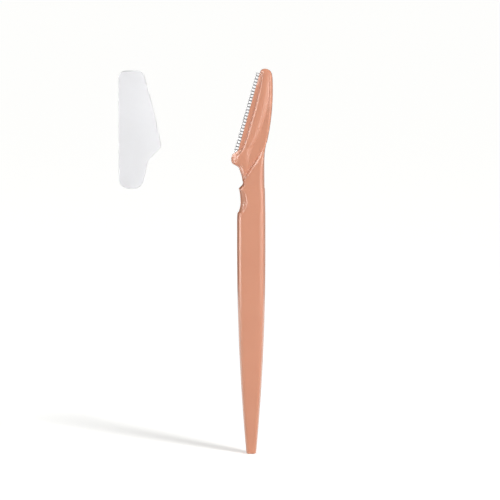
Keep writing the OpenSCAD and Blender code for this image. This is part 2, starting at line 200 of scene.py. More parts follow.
def skin(rings: list[Points], middles: list[Points]) -> tuple[Points, Faces]:
    """Joins rings of as many points each into a closed skin.

    Args:
        rings: The rings, from one end to the other.
        middles: The middle points of the first and the last ring.

    Returns:
        The points and the faces of the skin.
    """
    count = len(rings[0])
    points = np.concatenate(rings + [np.array(middles)])
    first, last = len(rings) * count, len(rings) * count + 1
    faces = [[first, i, (i + 1) % count] for i in range(count)]
    for r in range(len(rings) - 1):
        for i in range(count):
            a, b = r * count + i, r * count + (i + 1) % count
            faces.append([a, b, b + count, a + count])
    top = (len(rings) - 1) * count
    faces += [[last, top + (i + 1) % count, top + i] for i in range(count)]
    return points, faces


def soften(ring: Points, reach: float) -> Points:
    """Cuts each corner of a closed line of points a little.

    Args:
        ring: Rows of points.
        reach: Longest distance of a cut from its corner, in millimetres.

    Returns:
        A ring with twice as many points.
    """
    after = np.roll(ring, -1, axis=0)
    step = after - ring
    length = np.linalg.norm(step, axis=1, keepdims=True)
    share = np.minimum(CORNER_SHARE, reach / np.maximum(length, TINY))
    pairs = np.stack([ring + share * step, after - share * step], axis=1)
    return pairs.reshape(-1, ring.shape[1])


def wave(t: float) -> float:
    """Returns a smooth rise from 0 to 1."""
    return (1.0 - math.cos(math.pi * t)) / 2.0


# The blade's place


@dataclass(frozen=True)
class Jaw:
    """The jaw that holds the blade, whose sizes the head, the rear plate and the guard share.

    In it, u runs up along the guard's outer edge, v inward from it, and y from front to back.
    """

    heel_x: float = -6.95
    heel_z: float = 121.6
    tilt: float = 15.6
    length: float = 33.0
    head_t: float = 4.2
    show: float = 1.45
    clamp: float = 0.225
    lip_t: float = 0.5
    lip_w: float = 1.95
    strip_share: float = 0.88
    strip_rise: float = 0.2

    def axes(self) -> tuple[Points, Points]:
        """Returns the directions of u and v in the XZ plane."""
        turn = math.radians(self.tilt)
        return (np.array([math.sin(turn), math.cos(turn)]),
                np.array([math.cos(turn), -math.sin(turn)]))

    def at(self, u: float, v: float) -> Points:
        """Returns the XZ place of u and v."""
        along, inward = self.axes()
        return np.array([self.heel_x, self.heel_z]) + u * along + v * inward

    def lift(self, rows: Points) -> Points:
        """Turns rows of u, v and y into rows of x, y and z.

        Args:
            rows: Rows of u, v and y in millimetres.

        Returns:
            Rows of x, y and z in millimetres from the tip.
        """
        along, inward = self.axes()
        flat = np.array([self.heel_x, self.heel_z]) + rows[:, :1] * along + rows[:, 1:2] * inward
        return np.column_stack([flat[:, 0], rows[:, 2], flat[:, 1]])


# Handle


def rim(lean: float, height: float, reach: float, stepped: float = 0.0) -> Points:
    """Returns a rim: lean and height of its wall, reach from there to the face, and its step."""
    return np.array([lean, height, reach, stepped])


def round_rim(lean: float, radius: float, half: float) -> Points:
    """Returns a rim with a round edge on a wall that leans."""
    held = min(radius, half)
    return rim(lean, half - held, lean + held)


@dataclass(frozen=True)
class Section:
    """One section through the handle, between its left and its right point.

    The halves are half its thickness at both points, and each rim leads up from one of them to
    the front face. The valley is the share of the face at which the relief is lowest, the bend
    is where the back's line turns, and opened is 1 where the recess for the blade is open.
    """

    left: Points
    right: Points
    halves: Points
    left_rim: Points
    right_rim: Points
    valley: float
    relief: float
    bend: Points
    opened: float = 0.0

    def numbers(self) -> Points:
        """Returns the section as one row of numbers."""
        return np.concatenate([
            self.left, self.right, self.halves, self.left_rim, self.right_rim,
            [self.valley, self.relief], self.bend, [self.opened],
        ])

    @classmethod
    def of(cls, n: Points) -> Section:
        """Returns the section that a row of numbers stands for."""
        return cls(n[0:2], n[2:4], n[4:6], n[6:10], n[10:14], float(n[14]), float(n[15]),
                   n[16:18], float(n[18]))


@dataclass(frozen=True)
class Handle:
    """The moulded body: tip, grip, finger scoop, neck, nub, head and the recess in its back."""

    grip_len: float = 96.0
    grip_w: float = 11.36
    grip_wide_z: float = 80.0
    grip_t: float = 6.5
    grip_crown: float = 0.28
    crown_power: float = 8.0
    grip_lean: float = 0.7
    grip_rim: float = 0.5
    tip_w: float = 4.0
    tip_t: float = 3.4
    tip_rim: float = 0.7
    scoop_len: float = 11.2
    scoop_deep: float = 1.3
    scoop_reach: float = 1.3
    scoop_drop: float = 1.6
    scoop_step: float = 0.25
    spine_x: float = 5.3
    neck_w: float = 8.9
    neck_rise: float = 3.2
    seat_bevel: float = 0.9
    seat_climb: float = 14.8
    seat_out: float = 0.8
    seat_in: float = 0.5
    seat_share: float = 0.1
    seat_end: float = 0.3
    seat_fade: float = 5.0
    seat_valley: float = 0.15
    seat_relief: float = 0.2
    head_len: float = 35.5
    head_w: float = 10.35
    head_top_w: float = 5.25
    spine_low: float = 0.09
    spine_run: float = 0.85
    spine_lean: float = 0.3
    spine_rim: float = 1.0
    strip_end: float = 0.75
    back_lip: float = 0.6
    ridge_drop: float = 0.15
    valley_deep: float = 0.25
    rib_rise: float = 0.2
    crest_share: float = 0.45
    rise_power: float = 3.0
    fall_power: float = 2.0
    nub_reach: float = 0.1
    nub_h: float = 6.0
    top_lip: float = 0.7
    top_valley: float = 0.93
    top_bend: float = 0.25
    bend_share: float = 0.3
    bend_pull: float = 0.75
    gap: float = 0.05
    recess_v: float = 5.45
    draft: float = 0.25
    rim_steps: int = 8
    rib_steps: int = 24
    side_steps: int = 10
    loft_steps: int = 7
    edge_softness: float = 0.16
    sharp_deg: float = 48.0
    jaw: Jaw = field(default_factory=Jaw)

    # Degrees round the tip's edge, and shares of the way from the tip to the widest part.
    TIP_TURNS = (0, 15, 30, 45, 60, 75)
    GRIP_SHARES = (0.05, 0.12, 0.22, 0.34, 0.48, 0.64, 0.82, 1.0)

    # Shares of the scoop's length, of its depth and of its bevel.
    SCOOP = ((0.04, 0.05, 0.0), (0.18, 0.55, 0.5), (0.42, 1.0, 1.0), (0.7, 0.95, 0.8),
             (0.92, 0.72, 0.3), (0.99, 0.55, 0.0))

    # Left points below the neck, in bevel widths to the right and down.
    SEAT = ((0.0, 2.0), (1 / 6, 1.4), (1 / 3, 1.0))

    # Shares of the way from the neck to the nub, across and up, and along the spine, then the
    # valley, the relief, and the bend's share of its way to the recess's corner.
    NECK = ((0.05, 0.17, 0.13, 0.2, 0.15, 0.15), (0.19, 0.38, 0.15, 0.27, 0.3, 0.3),
            (0.37, 0.6, 0.17, 0.36, 0.6, 0.45))

    # Shares of the nub's height downward, of the way out and along the spine, then the valley,
    # the lip's width, its step and the bend's share.
    NUB = ((0.71, 0.66, 0.19, 0.54, 0.82, 0.0, 0.58), (0.51, -0.03, 0.205, 0.55, 1.6, 0.2, 0.7),
           (0.243, -0.16, 0.22, 0.53, 2.4, 0.6, 0.82), (0.05, 0.05, 0.235, 0.55, 2.35, 0.8, 0.92),
           (0.0, 1.0, 0.25, 0.56, 1.18, 1.0, 1.0))

    # Shares along the blade and along the spine, then the valley, the lip's width, the relief
    # and the lip's step.
    HEAD = ((0.0, 0.265, 0.58, 1.28, 1.0, 1.0), (0.04, 0.29, 0.62, 1.49, 1.0, 1.0),
            (0.2, 0.38, 0.71, 1.54, 1.0, 1.0), (0.36, 0.5, 0.79, 1.49, 1.0, 1.0),
            (0.53, 0.61, 0.86, 1.37, 1.0, 1.0), (0.69, 0.72, 0.93, 1.22, 0.85, 1.0),
            (0.85, 0.82, 0.93, 1.0, 0.6, 0.85), (1.0, 0.9, 0.93, 0.7, 0.3, 0.5))

    # Shares of the crown's height and of the head's width, on the left and on the right, then
    # the thickness, the relief and the lip's step.
    CROWN = ((0.0, 0.22, 0.3, 0.95, 1.0, 0.2, 0.2), (0.4, 0.24, 0.6, 0.88, 0.93, 0.1, 0.0),
             (0.68, 0.29, 0.85, 0.77, 0.78, 0.0, 0.0), (0.9, 0.38, 1.0, 0.6, 0.45, 0.0, 0.0))

    def bulge(self, z: float) -> float:
        """Returns how far the grip has widened at a height, from 0 to 1."""
        return 1.0 - (1.0 - z / self.grip_wide_z) ** 2 if z < self.grip_wide_z else 1.0

    def grip_half(self, z: float) -> float:
        """Returns half the grip's width at a height."""
        return (self.tip_w + (self.grip_w - self.tip_w) * self.bulge(z)) / 2

    def grip_depth(self, z: float) -> float:
        """Returns half the grip's thickness at a height."""
        return (self.tip_t + (self.grip_t - self.tip_t) * self.bulge(z)) / 2

    def spine(self, share: float) -> Points:
        """Finds a place on the spine.

        Args:
            share: Share of the blade's length.

        Returns:
            The XZ place.
        """
        low = self.head_len * self.spine_low
        u = low + share * self.jaw.length
        narrowing = ((u - low) / (self.head_len * self.spine_run)) ** 2
        drop = (self.head_w - self.head_top_w) * narrowing
        return self.jaw.at(u, self.jaw.show + self.head_w - drop)

    def grip_edge(self, half: float) -> Points:
        """Returns the rim of the grip at half its thickness."""
        return round_rim(self.grip_lean, self.grip_rim, half)

    def spine_edge(self) -> Points:
        """Returns the rim of the spine."""
        return round_rim(self.spine_lean, self.spine_rim, self.jaw.head_t / 2)

    def lip_edge(self, wide: float, stepped: float) -> Points:
        """Returns the rim of the lip beside the blade, with its low strip."""
        return rim(0.0, self.jaw.clamp + self.jaw.lip_t, self.jaw.lip_w * wide, stepped)

    def plain(self, left: Points, right: Points, half: float, left_rim: Points,
              right_rim: Points, taper: float = 0.0, valley: float = 0.5,
              relief: float = 0.0) -> Section:
        """Makes a section whose back runs straight across.

        Args:
            left: XZ place of the left point.
            right: XZ place of the right point.
            half: Half its thickness at the left.
            left_rim: Rim at the left.
            right_rim: Rim at the right.
            taper: How much more the half is at the right.
            valley: Share of the face at which the valley lies.
            relief: Share of the relief.

        Returns:
            The section.
        """
        return Section(left, right, np.array([half, half + taper]), left_rim, right_rim, valley,
                       relief, left + self.bend_share * (right - left))

    def grip_section(self, z: float, inset: float = 0.0) -> Section:
        """Makes a section of the grip, drawn in by an inset.

        Args:
            z: Height above the tip.
            inset: How far the outline draws in.

        Returns:
            The section.
        """
        half = self.grip_half(z) - inset
        depth = self.grip_depth(z) - inset
        edge = round_rim(self.grip_lean * depth / (self.grip_t / 2), self.grip_rim, depth)
        return self.plain(np.array([-half, z]), np.array([half, z]), depth, edge, edge)

    def scoop_section(self, along: float, deep: float, worn: float) -> Section:
        """Makes a section through the finger scoop.

        Args:
            along: Share of the scoop's length.
            deep: Share of its depth.
            worn: Share of its bevel.

        Returns:
            The section.
        """
        z = self.grip_len + along * self.scoop_len
        wide = self.grip_w / 2
        edge = self.grip_edge(self.grip_t / 2)
        cut = worn * np.array([0.0, -self.scoop_drop, self.scoop_reach, self.scoop_step])
        return self.plain(np.array([self.scoop_deep * deep - wide, z]),
                          np.array([wide + (self.spine_x - wide) * along / 2, z]),
                          self.grip_t / 2, edge + cut, edge)

    def neck(self) -> Points:
        """Returns the narrowest point of the neck."""
        return np.array([self.spine_x - self.neck_w,
                         self.grip_len + self.scoop_len + self.neck_rise])

    def seat_top(self) -> Points:
        """Returns the top of the seat on the spine."""
        return np.array([self.spine_x + self.seat_out, self.neck()[1] + self.seat_climb])

    def seat_sections(self) -> list[Section]:
        """Makes the sections of the bevelled seat that the cap's lower end meets.

        Returns:
            The sections, upwards.
        """
        half, high_half = self.grip_t / 2, self.jaw.head_t / 2
        edge = self.grip_edge(half)
        neck, top = self.neck(), self.seat_top()
        wide = self.seat_bevel
        turn = math.atan2(self.seat_climb, self.neck_w)
        low = top - self.seat_end * np.array([self.seat_in, wide / math.cos(turn)])
        taper = (1 - self.seat_share) * (high_half - half)
        lefts = [neck + wide * np.array([x, -down]) for x, down in self.SEAT]
        return [
            self.plain(lefts[0], np.array([self.spine_x, lefts[0][1]]), half, edge, edge),
            self.plain(lefts[1], np.array([self.spine_x, low[1] - self.seat_fade]), half,
                       edge, edge),
            self.plain(lefts[2], low, half, edge, self.grip_edge(half + taper), taper),
            self.plain(neck, top, high_half, self.grip_edge(high_half), self.spine_edge(),
                       valley=self.seat_valley, relief=self.seat_relief),
        ]

    def neck_sections(self) -> list[Section]:
        """Makes the sections of the neck and the heel nub.

        Returns:
            The sections, upwards.
        """
        half = self.jaw.head_t / 2
        halves = np.array([half, half])
        neck = self.neck()
        low = -self.gap - self.draft
        seat_bend = neck + self.bend_share * (self.seat_top() - neck)
        bend_way = self.jaw.at(low, self.recess_v) - seat_bend
        reach = self.jaw.at(-self.nub_h / 2, -self.nub_reach) - neck
        found = []
        for x, z, up, valley, relief, bend in self.NECK:
            found.append(Section(
                neck + np.array([x * reach[0], z * reach[1]]), self.spine(up), halves,
                self.grip_edge(half), self.spine_edge(), valley, relief,
                seat_bend + bend * bend_way))
        for down, out, up, valley, wide, stepped, bend in self.NUB:
            left = self.jaw.at(low - self.nub_h * down,
                               (self.jaw.show + self.nub_reach) * out - self.nub_reach)
            found.append(Section(left, self.spine(up), halves, self.lip_edge(wide, stepped),
                                 self.spine_edge(), valley, 1.0, seat_bend + bend * bend_way))
        return found

    def head_sections(self) -> list[Section]:
        """Makes the sections of the head and its crown.

        Returns:
            The sections, upwards.
        """
        half = self.jaw.head_t / 2
        halves = np.array([half, half])
        found = []
        for along, up, valley, wide, relief, stepped in self.HEAD:
            u = -self.gap + along * (self.jaw.length + 2 * self.gap)
            found.append(Section(self.jaw.at(u, self.jaw.show), self.spine(up), halves,
                                 self.lip_edge(wide, stepped), self.spine_edge(), valley, relief,
                                 self.jaw.at(u, self.recess_v), 1.0))
        high = self.jaw.length + self.gap + self.draft
        wide = self.jaw.show + self.head_top_w
        for up, x, right_up, right_x, thick, relief, stepped in self.CROWN:
            left = self.jaw.at(high + (self.head_len - high) * up, wide * x)
            right = self.jaw.at(high + (self.head_len - high) * right_up, wide * right_x)
            lip = self.lip_edge(self.top_lip, 0.0) * thick
            lean = rim((1 - thick) * self.spine_lean, 0.0, 0.0, stepped)
            found.append(Section(left, right, halves * thick, lip + lean,
                                 self.spine_edge() * thick, self.top_valley, relief,
                                 right + self.top_bend * (left - right)))
        return found

    def key_sections(self) -> list[Points]:
        """Makes all key sections, from the tip to the crown.

        Returns:
            Their rows of numbers.
        """
        found = []
        for turn in self.TIP_TURNS:
            rounding = math.radians(turn)
            found.append(self.grip_section(self.tip_rim * (1 - math.cos(rounding)),
                                           self.tip_rim * (1 - math.sin(rounding))))
        found += [self.grip_section(share * self.grip_wide_z) for share in self.GRIP_SHARES]
        found.append(self.grip_section((self.grip_wide_z + self.grip_len) / 2))
        found += [self.scoop_section(*shares) for shares in self.SCOOP]
        found += self.seat_sections() + self.neck_sections() + self.head_sections()
        return [section.numbers() for section in found]

    def sections(self) -> list[Section]:
        """Makes smooth steps through the key sections, with a hard step at the recess's ends.

        Returns:
            All sections, upwards.
        """
        keys = self.key_sections()
        last = len(keys) - 1
        found = []
        for i in range(last):
            p0, p1, p2, p3 = keys[max(i - 1, 0)], keys[i], keys[i + 1], keys[min(i + 2, last)]
            steps = self.loft_steps if p1[-1] == p2[-1] else 1
            for t in np.arange(steps) / steps:
                found.append(Section.of(
                    p1 + (p2 - p0) * t / 2 + (2 * p0 - 5 * p1 + 4 * p2 - p3) * t * t / 2
                    + (3 * p1 - p0 - 3 * p2 + p3) * t ** 3 / 2))
        return found + [Section.of(keys[last])]

    def relief(self, share: float, valley: float) -> float:
        """Finds the rise of the head's front face between its rims.

        Args:
            share: Way across the face, from the ridge at 0 to the spine's rim at 1.
            valley: Share at which the valley lies.

        Returns:
            The rise in millimetres, below zero at the ridge and in the valley.
        """
        t, crest = share / valley, self.crest_share
        if t < crest:
            fall = (self.rib_rise + self.ridge_drop) * (1 - t / crest) ** self.rise_power
            return self.rib_rise - fall
        if t < 1:
            fall = ((t - crest) / (1 - crest)) ** self.fall_power
            return self.rib_rise - (self.rib_rise + self.valley_deep) * fall
        return (share - 1) / (1 - valley) * self.valley_deep

    def crown(self, share: float, span: float) -> float:
        """Returns the rise of the grip's front face between its rounded shoulders."""
        flat = 1 - abs(2 * share - 1) ** self.crown_power
        return self.grip_crown * min(1.0, span / self.grip_w) * flat

    def stepped(self, t: float, share: float) -> float:
        """Finds how far a stepped rim has come.

        Args:
            t: Share of the way along the rim.
            share: How far the rim has come where its low strip ends.

        Returns:
            How far it has come, from 0 to 1.
        """
        if t < self.strip_end:
            return t / self.strip_end * share
        return share + (t - self.strip_end) / (1 - self.strip_end) * (1 - share)

    def rim_points(self, edge: Points, half: float) -> Pairs:
        """Finds the points of a rim, from the parting plane up to the face.

        Args:
            edge: The rim.
            half: Half the thickness of the section.

        Returns:
            Pairs of distance inward and height.
        """
        lean, height, reach, step = edge
        found = [(0.0, 0.0)]
        for i in range(self.rim_steps):
            t = i / self.rim_steps
            turn = math.pi / 2 * t
            x = self.stepped(t, self.jaw.strip_share)
            y = self.stepped(t, self.jaw.strip_rise)
            found.append((
                lean + (reach - lean) * ((1 - step) * (1 - math.cos(turn)) + step * x),
                height + (half - height) * ((1 - step) * math.sin(turn) + step * y)))
        return found

    def face_points(self, s: Section, start: float, span: float) -> Pairs:
        """Finds the points of the front face between its rims.

        Args:
            s: The section.
            start: Distance from the left point to the face.
            span: Width of the face.

        Returns:
            Pairs of distance from the left point and height.
        """
        half, taper = float(s.halves[0]), float(s.halves[1] - s.halves[0])
        shares = [s.valley * wave(i / self.rib_steps) for i in range(self.rib_steps + 1)]
        shares += [s.valley + (1 - s.valley) * wave((i + 1) / self.side_steps)
                   for i in range(self.side_steps)]
        return [(start + span * share,
                 half + taper * share + s.relief * self.relief(share, s.valley)
                 + (1 - s.relief) ** 2 * self.crown(share, span)) for share in shares]

    def ring(self, s: Section) -> Points:
        """Finds the closed ring of points round one section.

        Args:
            s: The section.

        Returns:
            Rows of x, y and z in millimetres from the tip.
        """
        width = float(np.linalg.norm(s.right - s.left))
        across = (s.right - s.left) / width
        half, taper = float(s.halves[0]), float(s.halves[1] - s.halves[0])
        toward = (s.bend - s.left) / np.linalg.norm(s.bend - s.left)
        bend_half = half + taper * float((s.bend - s.left) @ across) / width
        start = float(s.left_rim[2])
        span = width - start - float(s.right_rim[2])
        left_side = self.rim_points(s.left_rim, half - s.relief * self.ridge_drop)
        back_reach = min(start, self.back_lip * self.jaw.lip_w)
        back_rim = rim(s.left_rim[0], s.left_rim[1], back_reach, s.left_rim[3])
        right_side = [(width - x, y) for x, y in self.rim_points(s.right_rim, half + taper)]
        opened = s.opened > 0.5
        front = [(0.0, self.jaw.clamp if opened else 0.0)] + left_side[1:]
        front += self.face_points(s, start, span) + right_side[:0:-1] + [right_side[0]]
        back = right_side[1:] + [(start + span, half + taper)]
        edge = [(back_reach, half)] + self.rim_points(back_rim, half)[:0:-1]

        def place(pairs: Pairs, side: int, way: Points) -> list[list[float]]:
            """Returns the points of pairs of distance and height, on one side and one way."""
            return [[s.left[0] + x * way[0], side * y, s.left[1] + x * way[1]] for x, y in pairs]

        rows = place(front, -1, across) + place(back, 1, across)
        rows.append([s.bend[0], bend_half, s.bend[1]])
        if opened:
            for i in range(len(edge) + 1):
                q = s.bend + (s.left - s.bend) * i / (len(edge) + 1)
                rows.append([q[0], -self.jaw.clamp, q[1]])
        else:
            pull = self.bend_pull
            q = pull * s.bend + (1 - pull) * (s.left + back_reach * toward)
            rows.append([q[0], pull * bend_half + (1 - pull) * half, q[1]])
            rows += place(edge, 1, toward)
        return soften(np.array(rows), self.edge_softness)

    def build(self) -> bpy.types.Object:
        """Builds and dresses the body, which stands for the CAD's handle.

        Returns:
            The piece.
        """
        rings = [self.ring(s) for s in self.sections()]
        points, faces = skin(rings, [rings[0].mean(axis=0), rings[-1].mean(axis=0)])
        obj = add_object("moulded_body", points, faces)
        dress(obj, CORAL, self.sharp_deg)
        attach(obj, Body.RAZOR.value)
        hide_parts("handle")
        return obj


# Rear plate, blade and guard


@dataclass(frozen=True)
class RearPlate:
    """The back of the head, with three pegs through the blade."""

    inner_v: float = 5.4
    peg_d: float = 1.6
    peg_v: float = 3.5
    peg_shares: tuple[float, ...] = (0.18, 0.5, 0.82)
    peg_sides: int = 24
    edge: Rounding = Rounding(width=0.14, steps=3, from_deg=25.0)
    sharp_deg: float = 40.0
    jaw: Jaw = field(default_factory=Jaw)

    def profile(self) -> Points:
        """Draws the plate's section.

        Returns:
            Rows of v and y round it.
        """
        jaw = self.jaw
        half = jaw.head_t / 2
        low = jaw.clamp + jaw.lip_t
        return np.array([
            [jaw.show, jaw.clamp], [jaw.show, low],
            [jaw.show + jaw.strip_share * jaw.lip_w, low + jaw.strip_rise * (half - low)],
            [jaw.show + jaw.lip_w, half], [self.inner_v, half], [self.inner_v, jaw.clamp],
        ])

    def slab(self) -> tuple[Points, Faces]:
        """Returns the points and faces of the plate before its edges are rounded."""
        rows = [[u, v, y] for u in (0.0, self.jaw.length) for v, y in self.profile()]
        return self.jaw.lift(np.array(rows)), prism_faces(len(rows) // 2)

    def pegs(self) -> tuple[Points, Faces]:
        """Draws the three pegs.

        Returns:
            Their points and faces.
        """
        rows, faces = [], []
        for share in self.peg_shares:
            faces += prism_faces(self.peg_sides, len(rows))
            for y in (-self.jaw.clamp, self.jaw.clamp + self.jaw.lip_t / 2):
                for i in range(self.peg_sides):
                    turn = 2 * math.pi * i / self.peg_sides
                    rows.append([share * self.jaw.length + self.peg_d / 2 * math.cos(turn),
                                 self.peg_v + self.peg_d / 2 * math.sin(turn), y])
        return self.jaw.lift(np.array(rows)), faces

    def build(self) -> bpy.types.Object:
        """Builds and dresses the plate, which stands for the CAD's rear plate.

        Returns:
            The piece.
        """
        obj = add_object("rear_cover", *self.slab())
        self.edge.apply(obj)
        pegs = add_object("rear_pegs", *self.pegs())
        form = bmesh.new()
        form.from_mesh(obj.data)
        form.from_mesh(pegs.data)
        form.to_mesh(obj.data)
        form.free()
        bpy.data.objects.remove(pegs)
        dress(obj, CORAL, self.sharp_deg)
        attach(obj, Body.RAZOR.value)
        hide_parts("rear_plate")
        return obj


@dataclass(frozen=True)
class Blade:
    """The ground steel strip, which keeps its CAD solid."""

    node: str = "blade"

    def build(self) -> bpy.types.Object:
        """Gives the CAD's blade its ground steel.

        Returns:
            The CAD's object.
        """
        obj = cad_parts[self.node]
        obj.data.materials.clear()
        obj.data.materials.append(BLADE_STEEL.material())
        return obj


@dataclass(frozen=True)
class Guard:
    """The bright foil folded over the edge, with its comb of round-ended slots.

    The foil is drawn in cells, each with one slot between the fold and the band beside it.
    """

    foil_w: float = 2.6
    foil_t: float = 0.1
    slots: int = 26
    slot_edge: float = 0.3
    slot_len: float = 1.25
    slot_share: float = 0.62
    band_v: float = 1.6
    rays: int = 24
    fold_steps: int = 8
    on_line: float = 1e-6
    line_digits: int = 7
    burr: Rounding = Rounding(width=0.018, steps=2, from_deg=50.0)
    sharp_deg: float = 40.0
    jaw: Jaw = field(default_factory=Jaw)

    def pitch(self) -> float:
        """Returns the distance from one slot to the next."""
        return self.jaw.length / self.slots

    def slot_reach(self, turn: float) -> float:
        """Finds the distance from a slot's middle to its outline.

        Args:
            turn: The direction, in radians from u.

        Returns:
            The distance in millimetres.
        """
        radius = self.slot_share * self.pitch() / 2
        half = self.slot_len / 2 - radius
        across, along = abs(math.cos(turn)), abs(math.sin(turn))
        if across > TINY and radius / across * along <= half:
            return radius / across
        return half * along + math.sqrt(radius ** 2 - (half * across) ** 2)

    def on_v(self, points: Pairs, v: float) -> list[float]:
        """Returns the places along u of a cell's points that lie on a line of equal v."""
        return sorted({round(p[0], self.line_digits) for p in points
                       if abs(p[1] - v) < self.on_line})

    def cell(self) -> tuple[Pairs, Faces]:
        """Draws the foil round one slot.

        Returns:
            The points as u and v from the cell's start, and the faces.
        """
        half = self.pitch() / 2
        middle = self.slot_edge + self.slot_len / 2
        low, high = self.jaw.clamp - middle, self.band_v - middle
        points: Pairs = []
        corners: dict[int, int] = {}
        for k in range(self.rays):
            turn = 2 * math.pi * k / self.rays
            c, s = math.cos(turn), math.sin(turn)
            reach = self.slot_reach(turn)
            side = half / max(abs(c), TINY)
            end = (high if s > 0 else -low) / max(abs(s), TINY)
            out = min(side, end)
            points.append((half + reach * c, middle + reach * s))
            points.append((half + out * c, middle + out * s))
        for u, v in ((half, high), (-half, high), (-half, low), (half, low)):
            turn = math.atan2(v, u) % (2 * math.pi)
            corners[int(turn / (2 * math.pi) * self.rays)] = len(points)
            points.append((half + u, middle + v))
        faces = []
        for k in range(self.rays):
            after = (k + 1) % self.rays
            outer = [2 * k + 1] + ([corners[k]] if k in corners else []) + [2 * after + 1]
            faces.append([2 * k] + outer + [2 * after])
        return points, faces

    def sheet(self) -> tuple[Points, Faces]:
        """Draws the folded sheet, without its thickness.

        Returns:
            Its points and faces.
        """
        points, cell_faces = self.cell()
        fold_r = self.jaw.clamp
        at_fold, at_band = self.on_v(points, fold_r), self.on_v(points, self.band_v)
        rows: list[list[float]] = []
        faces: Faces = []

        def add_quad(corners: list[list[float]]) -> None:
            """Adds a face of four points."""
            faces.append([len(rows) + i for i in range(len(corners))])
            rows.extend(corners)

        for i in range(self.slots):
            u0 = i * self.pitch()
            for side in (-1, 1):
                first = len(rows)
                rows += [[u0 + u, v, side * fold_r] for u, v in points]
                faces += [[first + p for p in face[::-side]] for face in cell_faces]
                for a, b in zip(at_band, at_band[1:]):
                    add_quad([[u0 + u, v, side * fold_r] for u, v in (
                        (a, self.band_v), (b, self.band_v), (b, self.foil_w), (a, self.foil_w))])
            for a, b in zip(at_fold, at_fold[1:]):
                for k in range(self.fold_steps):
                    turns = [math.pi * t / self.fold_steps - math.pi / 2 for t in (k, k + 1)]
                    add_quad([[u0 + u, fold_r * (1 - math.cos(turn)), fold_r * math.sin(turn)]
                              for u, turn in ((a, turns[0]), (b, turns[0]),
                                              (b, turns[1]), (a, turns[1]))])
        return self.jaw.lift(np.array(rows)), faces

    def build(self) -> bpy.types.Object:
        """Builds and dresses the comb, which stands for the CAD's guard.

        Returns:
            The piece.
        """
        obj = add_object("comb_foil", *self.sheet())
        face = max(obj.data.polygons, key=lambda p: p.area)
        inward = face.normal.y * face.center.y < 0
        thick = obj.modifiers.new("thickness", "SOLIDIFY")
        thick.thickness = self.foil_t * MM
        thick.offset = 1.0 if inward else -1.0
        apply_modifiers(obj)
        self.burr.apply(obj)
        # The foil's dark finish is a painted dark reflection.
        dress(obj, GUARD_FOIL, self.sharp_deg)
        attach(obj, Body.RAZOR.value)
        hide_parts("guard")
        return obj


# Cap


@dataclass(frozen=True)
class Corner:
    """A corner of an outline in the XZ plane, with the radius that rounds it."""

    x: float
    z: float
    radius: float

    def spot(self) -> Points:
        """Returns the corner's place."""
        return np.array([self.x, self.z])


